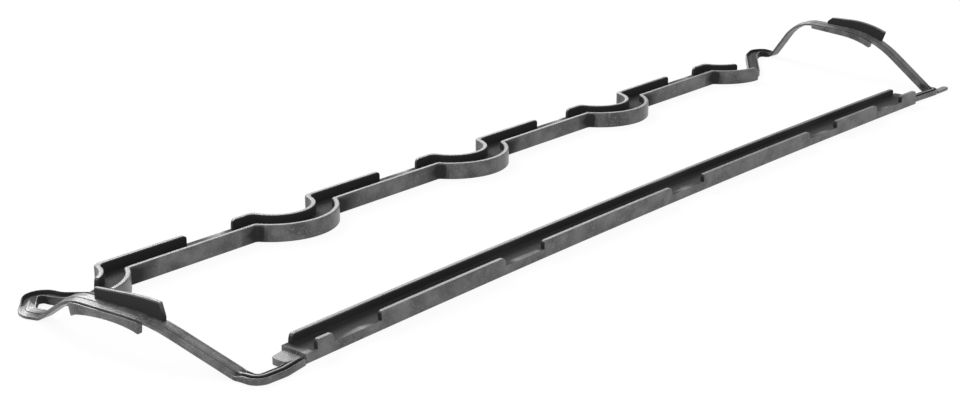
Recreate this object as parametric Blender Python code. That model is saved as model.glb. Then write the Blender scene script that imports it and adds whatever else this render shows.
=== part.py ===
"""Valve cover gasket: one moulded rubber loop for a four-cylinder head, modelled in metres, +Z up.

The gasket lies on its sealing face. X runs along the crankshaft, Y from the straight near side to
the lobed far side. The two long sides are channels that hold the cover's rim: a base strip, one
wall all the way along its inner edge, and a broken outer wall of tabs. The far side curls inwards
round five head bolts. At each end a narrow strip climbs over a camshaft bearing cap in an arch,
and comes back to the far side through an ear.

Design axes: X = 0 at the first lobe's centre, Y = 0 on the far channel's middle line, Z = 0 on the
sealing face. The finished solid is moved so that the middle of its underside is the origin.
"""

import math

import bmesh
import bpy
from mathutils import Matrix, Vector

MM = 0.001

# Long sides, in millimetres
BOLT_PITCH = 88.0            # from one head bolt, and so one lobe, to the next
LOBE_COUNT = 5
SIDE_SPACING = 81.0          # between the middle lines of the two channels
CHANNEL_WIDTH = 9.6
BASE_HEIGHT = 3.0
WALL_THICKNESS = 1.6
INNER_WALL_HEIGHT = 5.8      # above the sealing face
FAR_TAB_HEIGHT = 6.5
NEAR_TAB_HEIGHT = 5.6
WALL_STEP = 0.2              # the walls stand this far in from the base's edges

# Lobes round the head bolts
LOBE_RADIUS = 16.1           # of the channel's middle line
LOBE_CENTRE_OFFSET = 5.3     # outwards from the far channel's middle line
INNER_SHOULDER = 1.5         # radius where the channel's inner edge leaves a lobe
OUTER_SHOULDER = 3.0         # and the same at its outer edge
CHANNEL_START_ANGLE = -82.0  # on the first lobe, in degrees from +X
CHANNEL_END_ANGLE = -90.0    # on the last lobe
WALL_TRIM_ANGLE = 1.2        # the inner wall stops short of both ends by this much

# Outer wall tabs
TAB_GAP = 19.5
FAR_TAB_START = 20.9         # before a lobe's centre
FIRST_TAB_ANGLE = -66.0      # on the first lobe
LAST_TAB_ANGLE = -106.0      # on the last lobe
NEAR_FIRST_GAP = 32.0        # middle of the near side's first gap, past the first lobe's centre
NEAR_SECOND_GAP = 20.0       # middle of the second gap, past the second lobe's centre
NEAR_GAP_DRIFT = 2.5         # each later gap lies this much further past its lobe
NEAR_LAST_GAP = 21.4         # middle of the last gap, before the channel's right end
NEAR_TAB_SETBACK = 4.6       # the first near tab starts this far along the channel

# Near channel
NEAR_SKEW = 1.6              # its left end lies this much further out than its right end
NEAR_BOW = 2.9               # and its middle this much further in than a straight line
NEAR_STEP = 25.0             # longest straight facet along the bow
NEAR_START = 11.0            # past the first lobe's centre
NEAR_END = 8.5               # past the last lobe's centre
NEAR_WALL_START = 2.6        # the inner wall starts this far along the channel
NEAR_WALL_SETBACK = 4.5      # and stops this far before the channel's right end

# End strips
STRIP_THICKNESS = 1.6
ARCH_STRIP_WIDTH = 5.0
CORNER_STRIP_WIDTH = 3.8
LEFT_EAR_WIDTH = 5.6
RIGHT_EAR_WIDTH = 5.6
BEAD_HEIGHT = 0.7            # of the sealing bead along the middle of the strip's top
BEAD_TOP_WIDTH = 0.7
BEAD_FOOT_WIDTH = 1.3
RIM_WIDTH = 0.7              # of the raised rims along the strip's two edges
RIM_SLOPE = 0.2
RIM_HEIGHT = 0.4
EAR_RIM_HEIGHT = 1.1         # the rims stand higher round the ears

# Arches. A foot is (x, y) in plan: x from the first or the last lobe's centre, y from the middle
# line of its own channel. A crown corner is (distance in from its foot, height, radius).
LEFT_NEAR_FOOT = (-6.9, 0.0)
LEFT_FAR_FOOT = (-14.8, -6.8)
LEFT_NEAR_CROWN = (31.5, 8.9, 60.0)
LEFT_FAR_CROWN = (12.9, 9.0, 14.0)
RIGHT_NEAR_FOOT = (29.9, 1.7)
RIGHT_FAR_FOOT = (40.6, 1.7)
RIGHT_NEAR_CROWN = (28.5, 18.6, 45.0)
RIGHT_FAR_CROWN = (13.7, 18.4, 18.0)
FOOT_RADIUS = 4.5            # where an arch's leg bends up off the sealing face

# Flange that stands up on each arch, and lip that hangs from it. Each runs from a distance in
# from the near foot to a distance in from the far foot.
FLANGE_THICKNESS = 1.4
FLANGE_END_HEIGHT = 0.9      # where a sloping end starts
LEFT_FLANGE_HEIGHT = (5.2, 3.2)     # at its near and its far end
RIGHT_FLANGE_HEIGHT = (4.6, 2.8)
LEFT_FLANGE_RAMP = (2.0, 0.0)       # lengths of the sloping ends
RIGHT_FLANGE_RAMP = (0.0, 2.0)
LEFT_FLANGE_INSET = (28.5, 20.0)
RIGHT_FLANGE_INSET = (25.5, 28.0)
LIP_THICKNESS = 1.6
LEFT_LIP_DEPTH = (2.9, 2.4)  # below the strip, at its near and its far end
RIGHT_LIP_DEPTH = (2.1, 0.9)
LEFT_LIP_INSET = (33.5, 13.9)
RIGHT_LIP_INSET = (27.5, 22.7)
LEDGE = 0.15                 # flange and lip stand this far in from the strip's sides
OVERLAP = 0.8                # how deep joined shapes run into each other

# Plan corners of the end strips (x, y, radius) outside the arches, measured as the feet are
LEFT_CORNER = ((2.0, -6.8, 8.0), (-6.8, -6.4, 3.0))
LEFT_CORNER_LEAD = 1.2       # the strip ends this far short of the near channel, on the pad
LEFT_CORNER_INSET = 3.6      # and this far out of the channel's middle
LEFT_EAR = ((-16.6, -0.3, 4.5), (-6.3, 9.7, 3.6), (-4.6, 0.0, 8.0))
LEFT_EAR_ROOT_ANGLE = -80.0  # on the first lobe
RIGHT_CORNER = (29.2, -3.0, 3.0)
RIGHT_CORNER_INSET = 1.2
RIGHT_EAR = ((39.8, 9.9, 4.0), (29.0, 6.2, 8.0))
RIGHT_EAR_ROOT = (5.0, 0.4, 6.0)   # y from the lowest point of the lobe's middle line
STRIP_BITE = 2.0             # length of the right strip's ends inside the channels

# Pad beside the near channel's left end, and tongue past the right arch's near foot
PAD_LENGTH = 7.2
PAD_WIDTH = 7.6
PAD_SETBACK = 0.8            # its inner edge lies this far out from the channel's
PAD_LIFT = 0.2               # its underside stands off the sealing face
PAD_HEIGHT = 2.2
PAD_RADIUS = 1.5
TONGUE_REACH = 8.5
TONGUE_WIDTH = 2.8
TONGUE_HEIGHT = 1.2
TONGUE_LIFT = 0.2            # its underside stands off the sealing face
TONGUE_BITE = 1.1            # its root lies this far inside the strip
TONGUE_SHIFT = 0.3           # and this much further out than the strip's middle line

ARC_STEP = math.radians(11.5)   # longest turn of one facet on a round stretch
STATION_GAP = 0.8               # stations nearer to a mark than this are left out

RUBBER_COLOUR = (0.022, 0.021, 0.022, 1.0)
RUBBER_ROUGHNESS = 0.5


# Plan geometry

def arc(centre, radius, start, end):
    """Points from angle start to angle end, both in radians, at most ARC_STEP apart."""
    steps = max(2, math.ceil(abs(end - start) / ARC_STEP))
    points = []
    for i in range(steps + 1):
        angle = start + (end - start) * i / steps
        points.append(Vector((centre[0] + radius * math.cos(angle),
                              centre[1] + radius * math.sin(angle))))
    return points


def rounded(corners):
    """An open line through corners (x, y, radius), with each corner turned on its radius."""
    line = [Vector(corners[0][:2])]
    for before, corner, after in zip(corners, corners[1:], corners[2:]):
        here = Vector(corner[:2])
        back = (Vector(before[:2]) - here).normalized()
        ahead = (Vector(after[:2]) - here).normalized()
        half = math.acos(max(-1.0, min(1.0, back.dot(ahead)))) / 2
        radius = corner[2]
        if radius == 0.0 or math.pi / 2 - half < 0.001:
            line.append(here)
            continue
        centre = here + (back + ahead).normalized() * radius / math.sin(half)
        first = here + back * radius / math.tan(half) - centre
        last = here + ahead * radius / math.tan(half) - centre
        start = math.atan2(first.y, first.x)
        turn = math.remainder(math.atan2(last.y, last.x) - start, 2 * math.pi)
        line += arc(centre, radius, start, start + turn)
    line.append(Vector(corners[-1][:2]))
    return line


def lobe_centre(number):
    return Vector((number * BOLT_PITCH, LOBE_CENTRE_OFFSET))


def last_lobe_x():
    return (LOBE_COUNT - 1) * BOLT_PITCH


def lobe_point(number, angle):
    """The point of a lobe's middle line at an angle in radians."""
    return lobe_centre(number) + LOBE_RADIUS * Vector((math.cos(angle), math.sin(angle)))


def lobe_edge(number, distance, start=None, end=None):
    """A line round one lobe, a distance out from the middle line, or only from or up to an angle.

    Each line leaves the lobe over its own shoulder, which is rounder towards the outer edge.
    """
    centre = lobe_centre(number)
    radius = LOBE_RADIUS - distance
    share = 0.5 + distance / CHANNEL_WIDTH
    shoulder = INNER_SHOULDER + (OUTER_SHOULDER - INNER_SHOULDER) * share
    drop = LOBE_CENTRE_OFFSET - distance + shoulder
    reach = math.sqrt((radius + shoulder) ** 2 - drop ** 2)
    right_angle = math.atan2(-drop, reach)
    left_angle = -math.pi - right_angle
    line = []
    if start is None:
        pivot = centre + Vector((-reach, -drop))
        line += arc(pivot, shoulder, math.pi / 2, math.pi + left_angle)[:-1]
    line += arc(centre, radius, left_angle if start is None else start,
                right_angle if end is None else end)
    if end is None:
        pivot = centre + Vector((reach, -drop))
        line += arc(pivot, shoulder, math.pi + right_angle, math.pi / 2)[1:]
    return line


def offset(line, distance):
    """The line moved to its left by distance, with mitred corners."""
    moved = []
    for i, point in enumerate(line):
        sides = []
        if i > 0:
            run = (point - line[i - 1]).normalized()
            sides.append(Vector((-run.y, run.x)))
        if i < len(line) - 1:
            run = (line[i + 1] - point).normalized()
            sides.append(Vector((-run.y, run.x)))
        total = sides[0] + sides[-1]
        moved.append(point + total * distance / (1 + sides[0].dot(sides[-1])))
    return moved


def band(line, left, right):
    """A closed outline between two offsets of one line, left of it the greater one."""
    return offset(line, left) + offset(line, right)[::-1]


# Solids

def slab(name, outline, low, high):
    """A flat outline filled and extruded from height low to height high."""
    curve = bpy.data.curves.new(name, "CURVE")
    curve.dimensions = "2D"
    curve.fill_mode = "BOTH"
    curve.extrude = (high - low) / 2 * MM
    spline = curve.splines.new("POLY")
    spline.points.add(len(outline) - 1)
    for knot, point in zip(spline.points, outline):
        knot.co = (point.x * MM, point.y * MM, 0.0, 1.0)
    spline.use_cyclic_u = True
    source = bpy.data.objects.new(name + "_outline", curve)
    source.location.z = (low + high) / 2 * MM
    bpy.context.scene.collection.objects.link(source)
    bpy.context.view_layer.update()
    evaluated = source.evaluated_get(bpy.context.evaluated_depsgraph_get())
    mesh = bpy.data.meshes.new_from_object(evaluated)
    mesh.transform(source.matrix_world)
    bpy.data.objects.remove(source)
    bpy.data.curves.remove(curve)
    return finished(name, mesh)


def finished(name, mesh):
    """Weld a mesh's loose caps, point its faces outwards and give it an object."""
    work = bmesh.new()
    work.from_mesh(mesh)
    bmesh.ops.remove_doubles(work, verts=work.verts, dist=0.00001)
    bmesh.ops.recalc_face_normals(work, faces=work.faces)
    work.to_mesh(mesh)
    work.free()
    shape = bpy.data.objects.new(name, mesh)
    bpy.context.scene.collection.objects.link(shape)
    return shape


def loft(name, stations, section):
    """A solid skinned over the sections (left, up) that section(i) gives at each station."""
    work = bmesh.new()
    rings = []
    last = len(stations) - 1
    for i, point in enumerate(stations):
        run = (stations[min(i + 1, last)] - stations[max(i - 1, 0)]).normalized()
        left = Vector((-run.y, run.x, 0.0)).normalized()
        up = run.cross(left)
        rings.append([work.verts.new((point + left * a + up * b) * MM) for a, b in section(i)])
    for ring, following in zip(rings, rings[1:]):
        for j in range(len(ring)):
            k = (j + 1) % len(ring)
            work.faces.new((ring[j], ring[k], following[k], following[j]))
    work.faces.new(rings[0])
    work.faces.new(rings[-1])
    mesh = bpy.data.meshes.new(name)
    work.to_mesh(mesh)
    work.free()
    return finished(name, mesh)


# Far side

def far_edge(distance, trim=0.0):
    """The far side's line a distance out from its middle line, trimmed by an angle at both ends."""
    line = lobe_edge(0, distance, start=math.radians(CHANNEL_START_ANGLE + trim))
    for number in range(1, LOBE_COUNT - 1):
        line += lobe_edge(number, distance)
    end = math.radians(CHANNEL_END_ANGLE - trim)
    return line + lobe_edge(LOBE_COUNT - 1, distance, end=end)


def far_tab_edge(number, distance):
    """The same beside one tab, which starts before a lobe and ends short of the next one."""
    centre = lobe_centre(number)
    tab_start = Vector((centre.x - FAR_TAB_START, distance))
    tab_end = Vector((centre.x + BOLT_PITCH - FAR_TAB_START - TAB_GAP, distance))
    if number == 0:
        return lobe_edge(number, distance, start=math.radians(FIRST_TAB_ANGLE)) + [tab_end]
    if number == LOBE_COUNT - 1:
        return [tab_start] + lobe_edge(number, distance, end=math.radians(LAST_TAB_ANGLE))
    return [tab_start] + lobe_edge(number, distance) + [tab_end]


def far_side():
    """Base, inner wall and tabs of the far channel."""
    half = CHANNEL_WIDTH / 2
    face = half - WALL_STEP
    base = far_edge(half) + far_edge(-half)[::-1]
    wall = far_edge(WALL_THICKNESS - face, WALL_TRIM_ANGLE)
    wall += far_edge(-face, WALL_TRIM_ANGLE)[::-1]
    shapes = [slab("far_base", base, 0.0, BASE_HEIGHT),
              slab("far_wall", wall, BASE_HEIGHT - OVERLAP, INNER_WALL_HEIGHT)]
    for number in range(LOBE_COUNT):
        tab = far_tab_edge(number, face) + far_tab_edge(number, face - WALL_THICKNESS)[::-1]
        name = "far_tab_%d" % (number + 1)
        shapes.append(slab(name, tab, BASE_HEIGHT - OVERLAP, FAR_TAB_HEIGHT))
    return shapes


# Near side

def near_end():
    return last_lobe_x() + NEAR_END


def near_gap_centres():
    """Middles of the gaps between the near tabs: one past each lobe but the last, one near the end."""
    centres = [NEAR_FIRST_GAP]
    for number in range(1, LOBE_COUNT - 1):
        centres.append(number * BOLT_PITCH + NEAR_SECOND_GAP + (number - 1) * NEAR_GAP_DRIFT)
    return centres + [near_end() - NEAR_LAST_GAP]


def near_y(x):
    """The near channel's middle line: a shallow parabola between its two ends."""
    share = (x - NEAR_START) / (near_end() - NEAR_START)
    return -SIDE_SPACING - NEAR_SKEW * (1 - share) + 4 * NEAR_BOW * share * (1 - share)


def near_line(start, end):
    steps = math.ceil((end - start) / NEAR_STEP)
    places = [start + (end - start) * i / steps for i in range(steps + 1)]
    return [Vector((x, near_y(x))) for x in places]


def near_side():
    """Base, inner wall and tabs of the near channel."""
    half = CHANNEL_WIDTH / 2
    face = half - WALL_STEP
    end = near_end()
    base = near_line(NEAR_START, end)
    wall = near_line(NEAR_START + NEAR_WALL_START, end - NEAR_WALL_SETBACK)
    wall_outline = band(wall, face, face - WALL_THICKNESS)
    shapes = [slab("near_base", band(base, half, -half), 0.0, BASE_HEIGHT),
              slab("near_wall", wall_outline, BASE_HEIGHT - OVERLAP, INNER_WALL_HEIGHT)]
    edges = [NEAR_START + NEAR_TAB_SETBACK]
    for centre in near_gap_centres():
        edges += [centre - TAB_GAP / 2, centre + TAB_GAP / 2]
    edges.append(end - WALL_STEP)
    for i, (tab_start, tab_end) in enumerate(zip(edges[::2], edges[1::2])):
        tab = band(near_line(tab_start, tab_end), WALL_THICKNESS - face, -face)
        shapes.append(slab("near_tab_%d" % (i + 1), tab, BASE_HEIGHT - OVERLAP, NEAR_TAB_HEIGHT))
    return shapes


def near_pad():
    """The wider flat where the left corner strip meets the near channel."""
    right = NEAR_START + OVERLAP
    left = right - PAD_LENGTH
    inner = near_y(NEAR_START) + CHANNEL_WIDTH / 2 - PAD_SETBACK
    outer = inner - PAD_WIDTH
    corners = ((right, outer, 0.0), (right, inner, 0.0), (left, inner - PAD_RADIUS, PAD_RADIUS),
               (left, outer, PAD_RADIUS), (right, outer, 0.0))
    return slab("near_pad", rounded(corners)[:-1], PAD_LIFT, PAD_HEIGHT)


# End strips and arches

def placed(corners, x, y):
    """Corners (x, y, radius) moved by x and y."""
    return [(corner[0] + x, corner[1] + y, corner[2]) for corner in corners]


def arch_line(near, far, near_crown, far_crown):
    """The underside of an arch as (distance from the near foot, point in space) pairs."""
    length = (far - near).length
    corners = [(-FOOT_RADIUS, 0.0, 0.0), (0.0, 0.0, FOOT_RADIUS), near_crown,
               (length - far_crown[0], far_crown[1], far_crown[2]),
               (length, 0.0, FOOT_RADIUS), (length + FOOT_RADIUS, 0.0, 0.0)]
    profile = rounded(corners)[1:-1]
    direction = (far - near) / length
    return [(p.x, near + direction * p.x + Vector((0.0, 0.0, p.y))) for p in profile]


def left_arch():
    near = Vector((LEFT_NEAR_FOOT[0], LEFT_NEAR_FOOT[1] - SIDE_SPACING, 0.0))
    far = Vector((*LEFT_FAR_FOOT, 0.0))
    return arch_line(near, far, LEFT_NEAR_CROWN, LEFT_FAR_CROWN)


def right_arch():
    x = last_lobe_x()
    near = Vector((x + RIGHT_NEAR_FOOT[0], RIGHT_NEAR_FOOT[1] - SIDE_SPACING, 0.0))
    far = Vector((x + RIGHT_FAR_FOOT[0], RIGHT_FAR_FOOT[1], 0.0))
    return arch_line(near, far, RIGHT_NEAR_CROWN, RIGHT_FAR_CROWN)


def strip_section(width, rim_height):
    """Half the strip's section from its bottom edge over the rim and the bead, then mirrored."""
    half = width / 2
    rim_top = STRIP_THICKNESS + rim_height
    crest = STRIP_THICKNESS + BEAD_HEIGHT
    ring = [(half, 0.0), (half, rim_top), (half - RIM_WIDTH, rim_top),
            (half - RIM_WIDTH - RIM_SLOPE, STRIP_THICKNESS),
            (BEAD_FOOT_WIDTH / 2, STRIP_THICKNESS), (BEAD_TOP_WIDTH / 2, crest)]
    return ring + [(-a, b) for a, b in reversed(ring)]


def end_strip(name, before, arch, after, ear_width):
    """A strip along the sealing face, over the arch and round the ear, near side to far side."""
    stations = [Vector((p.x, p.y, 0.0)) for p in before]
    sections = [strip_section(CORNER_STRIP_WIDTH, RIM_HEIGHT)] * len(before)
    stations += [point for _, point in arch]
    sections += [strip_section(ARCH_STRIP_WIDTH, RIM_HEIGHT)] * len(arch)
    stations += [Vector((p.x, p.y, 0.0)) for p in after]
    sections += [strip_section(ear_width, EAR_RIM_HEIGHT)] * len(after)
    return loft(name, stations, lambda i: sections[i])


def left_strip(arch):
    near = arch[0][1]
    far = arch[-1][1]
    start = (NEAR_START - LEFT_CORNER_LEAD, near_y(NEAR_START) - LEFT_CORNER_INSET, 0.0)
    before = rounded([start, *placed(LEFT_CORNER, 0.0, -SIDE_SPACING), (near.x, near.y, 0.0)])[:-1]
    root = lobe_point(0, math.radians(LEFT_EAR_ROOT_ANGLE))
    after = rounded([(far.x, far.y, 0.0), *LEFT_EAR, (root.x, root.y, 0.0)])[1:]
    return end_strip("left_strip", before, arch, after, LEFT_EAR_WIDTH)


def right_strip(arch):
    near = arch[0][1]
    far = arch[-1][1]
    x = last_lobe_x()
    start = (near_end() - STRIP_BITE, -SIDE_SPACING - RIGHT_CORNER_INSET, 0.0)
    corner = placed([RIGHT_CORNER], x, -SIDE_SPACING)
    before = rounded([start, *corner, (near.x, near.y, 0.0)])[:-1]
    ear = placed(RIGHT_EAR, x, 0.0)
    ear += placed([RIGHT_EAR_ROOT], x, LOBE_CENTRE_OFFSET - LOBE_RADIUS)
    root = lobe_point(LOBE_COUNT - 1, math.radians(CHANNEL_END_ANGLE))
    after = rounded([(far.x, far.y, 0.0), *ear, (root.x - STRIP_BITE, root.y, 0.0)])[1:]
    return end_strip("right_strip", before, arch, after, RIGHT_EAR_WIDTH)


def stretch(arch, marks):
    """The part of an arch from the first to the last mark, with a station exactly at each mark."""
    points = []
    for (a, here), (b, ahead) in zip(arch, arch[1:]):
        for mark in marks:
            if a < mark <= b:
                points.append((mark, here.lerp(ahead, (mark - a) / (b - a))))
        between = marks[0] < b < marks[-1]
        if between and min(abs(b - mark) for mark in marks) > STATION_GAP:
            points.append((b, ahead))
    return sorted(points, key=lambda item: item[0])


def inset_range(arch, inset):
    return inset[0], arch[-1][0] - inset[1]


def risen(distance, ramp):
    """How much of its height a sloping end has reached at a distance from its tip."""
    return 1.0 if distance >= ramp else distance / ramp


def flange(name, arch, inset, heights, ramps):
    """The wall that stands up on the strip's right edge, lower towards the far side."""
    low, high = inset_range(arch, inset)
    part = stretch(arch, sorted({low, low + ramps[0], high - ramps[1], high}))
    outer = LEDGE - ARCH_STRIP_WIDTH / 2

    def section(i):
        place = part[i][0]
        share = (place - low) / (high - low)
        height = heights[0] + (heights[1] - heights[0]) * share
        rise = min(risen(place - low, ramps[0]), risen(high - place, ramps[1]))
        top = STRIP_THICKNESS + FLANGE_END_HEIGHT + (height - FLANGE_END_HEIGHT) * rise
        foot = STRIP_THICKNESS - OVERLAP
        inner = outer + FLANGE_THICKNESS
        return [(outer, foot), (outer, top), (inner, top), (inner, foot)]

    return loft(name, [point for _, point in part], section)


def lip(name, arch, inset, depths):
    """The lip that hangs from the strip's left edge and hooks on the bearing cap."""
    low, high = inset_range(arch, inset)
    part = stretch(arch, (low, high))
    outer = ARCH_STRIP_WIDTH / 2 - LEDGE
    inner = outer - LIP_THICKNESS

    def section(i):
        share = (part[i][0] - low) / (high - low)
        depth = depths[0] + (depths[1] - depths[0]) * share
        return [(outer, -depth), (outer, OVERLAP), (inner, OVERLAP), (inner, -depth)]

    return loft(name, [point for _, point in part], section)


def tongue():
    """The small flat tongue that points on past the right arch's near foot."""
    foot = last_lobe_x() + RIGHT_NEAR_FOOT[0]
    start = foot - TONGUE_BITE
    y = RIGHT_CORNER[1] - SIDE_SPACING - TONGUE_SHIFT
    half = TONGUE_WIDTH / 2
    outline = [Vector((start, y - half))]
    outline += arc((foot + TONGUE_REACH - half, y), half, -math.pi / 2, math.pi / 2)
    outline.append(Vector((start, y + half)))
    return slab("tongue", outline, TONGUE_LIFT, TONGUE_HEIGHT)


def end_shapes():
    left = left_arch()
    right = right_arch()
    return [left_strip(left), right_strip(right),
            flange("left_flange", left, LEFT_FLANGE_INSET, LEFT_FLANGE_HEIGHT, LEFT_FLANGE_RAMP),
            flange("right_flange", right, RIGHT_FLANGE_INSET, RIGHT_FLANGE_HEIGHT,
                   RIGHT_FLANGE_RAMP),
            lip("left_lip", left, LEFT_LIP_INSET, LEFT_LIP_DEPTH),
            lip("right_lip", right, RIGHT_LIP_INSET, RIGHT_LIP_DEPTH),
            near_pad(),
            tongue()]


# Assembly

def joined(name, shapes):
    """One solid from many that run into each other."""
    body, *others = shapes
    for other in others:
        union = body.modifiers.new(other.name, "BOOLEAN")
        union.operation = "UNION"
        union.solver = "EXACT"
        union.object = other
    bpy.context.view_layer.update()
    evaluated = body.evaluated_get(bpy.context.evaluated_depsgraph_get())
    mesh = bpy.data.meshes.new_from_object(evaluated)
    mesh.name = name
    for shape in shapes:
        used = shape.data
        bpy.data.objects.remove(shape)
        bpy.data.meshes.remove(used)
    return mesh


def move_origin(mesh):
    """Put the middle of the underside's box at the origin."""
    low = [min(v.co[i] for v in mesh.vertices) for i in range(3)]
    high = [max(v.co[i] for v in mesh.vertices) for i in range(3)]
    mesh.transform(Matrix.Translation((-(low[0] + high[0]) / 2, -(low[1] + high[1]) / 2, -low[2])))


def rubber():
    material = bpy.data.materials.new("black_rubber")
    material.use_nodes = True
    shader = material.node_tree.nodes["Principled BSDF"]
    shader.inputs["Base Color"].default_value = RUBBER_COLOUR
    shader.inputs["Roughness"].default_value = RUBBER_ROUGHNESS
    shader.inputs["Metallic"].default_value = 0.0
    return material


def build():
    for item in list(bpy.data.objects):
        bpy.data.objects.remove(item)
    mesh = joined("gasket", far_side() + near_side() + end_shapes())
    move_origin(mesh)
    mesh.materials.clear()
    mesh.materials.append(rubber())
    gasket = bpy.data.objects.new("gasket", mesh)
    collection = bpy.data.collections.new("valve_cover_gasket")
    bpy.context.scene.collection.children.link(collection)
    collection.objects.link(gasket)


build()
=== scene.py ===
# %% [markdown]
# # Valve cover gasket, the looks
# The gasket is one moulded loop of black rubber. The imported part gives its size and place. This
# script models the same loop again with the soft edges, fillets and fine ridges of the moulding,
# and gives it a rubber finish, a floor, light and a camera.

import bisect
import math

import bmesh
import bpy
from mathutils import Matrix, Vector
from mathutils.bvhtree import BVHTree


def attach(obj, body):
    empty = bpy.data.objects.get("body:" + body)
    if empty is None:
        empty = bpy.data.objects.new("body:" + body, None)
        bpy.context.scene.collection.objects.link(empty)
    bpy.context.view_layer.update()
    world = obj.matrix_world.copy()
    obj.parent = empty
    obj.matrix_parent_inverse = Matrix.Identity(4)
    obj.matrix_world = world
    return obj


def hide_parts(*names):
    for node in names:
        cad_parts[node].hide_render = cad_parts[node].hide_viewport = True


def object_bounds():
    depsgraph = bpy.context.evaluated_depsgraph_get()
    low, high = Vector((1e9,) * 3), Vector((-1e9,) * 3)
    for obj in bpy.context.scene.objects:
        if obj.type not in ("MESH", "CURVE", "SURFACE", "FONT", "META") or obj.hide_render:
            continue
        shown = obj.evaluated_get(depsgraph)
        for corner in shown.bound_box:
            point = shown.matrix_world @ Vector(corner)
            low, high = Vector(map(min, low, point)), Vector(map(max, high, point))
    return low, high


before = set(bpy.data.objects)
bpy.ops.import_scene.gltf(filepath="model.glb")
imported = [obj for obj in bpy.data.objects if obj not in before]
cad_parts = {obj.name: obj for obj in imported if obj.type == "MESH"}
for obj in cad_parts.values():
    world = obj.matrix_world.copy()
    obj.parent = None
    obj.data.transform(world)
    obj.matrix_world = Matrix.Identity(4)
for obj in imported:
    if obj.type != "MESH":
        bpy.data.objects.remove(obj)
cad_low, cad_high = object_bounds()
MM = 0.001
print("packed size in mm:", [round(side / MM, 1) for side in cad_high - cad_low])

# %% [markdown]
# The long sides of a real gasket are drawn from the engine block: the bolts stand one bore pitch
# apart, and the far side curls round each of them. The sizes are in millimetres. X = 0 is the
# first bolt and Y = 0 the middle of the far channel, so both are found once from the part's box.

# %% Sizes of the long sides
BOLT_PITCH = 88.0
LOBE_COUNT = 5
FIRST_BOLT_FROM_END = 18.74
FAR_LINE_FROM_EDGE = 11.4
SIDE_SPACING = 81.0
CHANNEL_WIDTH = 9.6
BASE_HEIGHT = 3.0
WALL_THICKNESS = 1.6
WALL_STEP = 0.2
INNER_WALL_HEIGHT = 5.8
FAR_TAB_HEIGHT = 6.5
NEAR_TAB_HEIGHT = 5.6
HALF = CHANNEL_WIDTH / 2
FACE = HALF - WALL_STEP
WALL_INSIDE = FACE - WALL_THICKNESS
LAST_BOLT = (LOBE_COUNT - 1) * BOLT_PITCH
origin = Vector((cad_low.x / MM + FIRST_BOLT_FROM_END, cad_high.y / MM - FAR_LINE_FROM_EDGE, 0.0))
print("first bolt at", [round(value, 2) for value in origin])

# %% [markdown]
# A channel is easiest to model unrolled: a straight bar with its walls, cut and raised on a flat
# sheet of cells, then bent along its route. So every helper works in bar coordinates: along,
# across (towards the tabs) and up, in millimetres. A slab is closed from the start, and a wall is
# drawn up out of its top cells, so that base and wall are one skin.

# %% Start a bar
CUT_SNAP = 0.0001
SAME = 0.01


def cut(work, place, normal):
    """Cut everything across at a place."""
    geometry = work.verts[:] + work.edges[:] + work.faces[:]
    bmesh.ops.bisect_plane(work, geom=geometry, plane_co=place, plane_no=normal, dist=CUT_SNAP)


def start_bar(along, across, bottom, top):
    """A closed slab from the first to the last value of each list, cut at the values between."""
    work = bmesh.new()
    bmesh.ops.create_grid(work, x_segments=1, y_segments=1, size=0.5)
    length = along[-1] - along[0]
    width = across[-1] - across[0]
    bmesh.ops.scale(work, vec=(length, width, 1.0), verts=work.verts)
    middle = ((along[0] + along[-1]) / 2, (across[0] + across[-1]) / 2, top)
    bmesh.ops.translate(work, vec=middle, verts=work.verts)
    for value in across[1:-1]:
        cut(work, (0.0, value, 0.0), (0.0, 1.0, 0.0))
    for value in along[1:-1]:
        cut(work, (value, 0.0, 0.0), (1.0, 0.0, 0.0))
    grown = bmesh.ops.extrude_face_region(work, geom=work.faces[:])["geom"]
    lowered = [item for item in grown if isinstance(item, bmesh.types.BMVert)]
    bmesh.ops.translate(work, vec=(0.0, 0.0, bottom - top), verts=lowered)
    bmesh.ops.recalc_face_normals(work, faces=work.faces)
    return work


def raise_cells(work, along, across, level, height):
    """Raise the top cells inside a range, from a level, by a height."""
    cells = []
    for face in work.faces:
        middle = face.calc_center_median()
        inside = along[0] < middle.x < along[1] and across[0] < middle.y < across[1]
        if inside and face.normal.z > 0.9 and abs(middle.z - level) < SAME:
            cells.append(face)
    grown = bmesh.ops.extrude_face_region(work, geom=cells)["geom"]
    raised = [item for item in grown if isinstance(item, bmesh.types.BMVert)]
    bmesh.ops.translate(work, vec=(0.0, 0.0, height), verts=raised)
    bmesh.ops.delete(work, geom=cells, context="FACES_ONLY")
    bare = [edge for edge in work.edges if not edge.link_faces]
    bmesh.ops.delete(work, geom=bare, context="EDGES")


# %% [markdown]
# Moulded rubber has no sharp edge: the mould is milled, and rubber tears at a knife edge. The
# tops of the walls carry a round on each side, the corner inside the channel a fillet. A bevel of
# a few segments makes both, on edges picked by where they lie.

# %% Soften edges
SEGMENTS = 3
TRUE_CORNER = math.radians(30.0)


def soften(work, offset, chosen):
    """Bevel the edges between two faces at an angle whose middle the function chooses."""
    edges = []
    for edge in work.edges:
        if len(edge.link_faces) != 2 or edge.calc_face_angle() < TRUE_CORNER:
            continue
        middle = (edge.verts[0].co + edge.verts[1].co) / 2
        if chosen(middle, edge.verts[1].co - edge.verts[0].co):
            edges.append(edge)
    bmesh.ops.bevel(work, geom=edges, offset=offset, offset_type="OFFSET", segments=SEGMENTS,
                    profile=0.5, affect="EDGES", clamp_overlap=True, material=-1)
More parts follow.
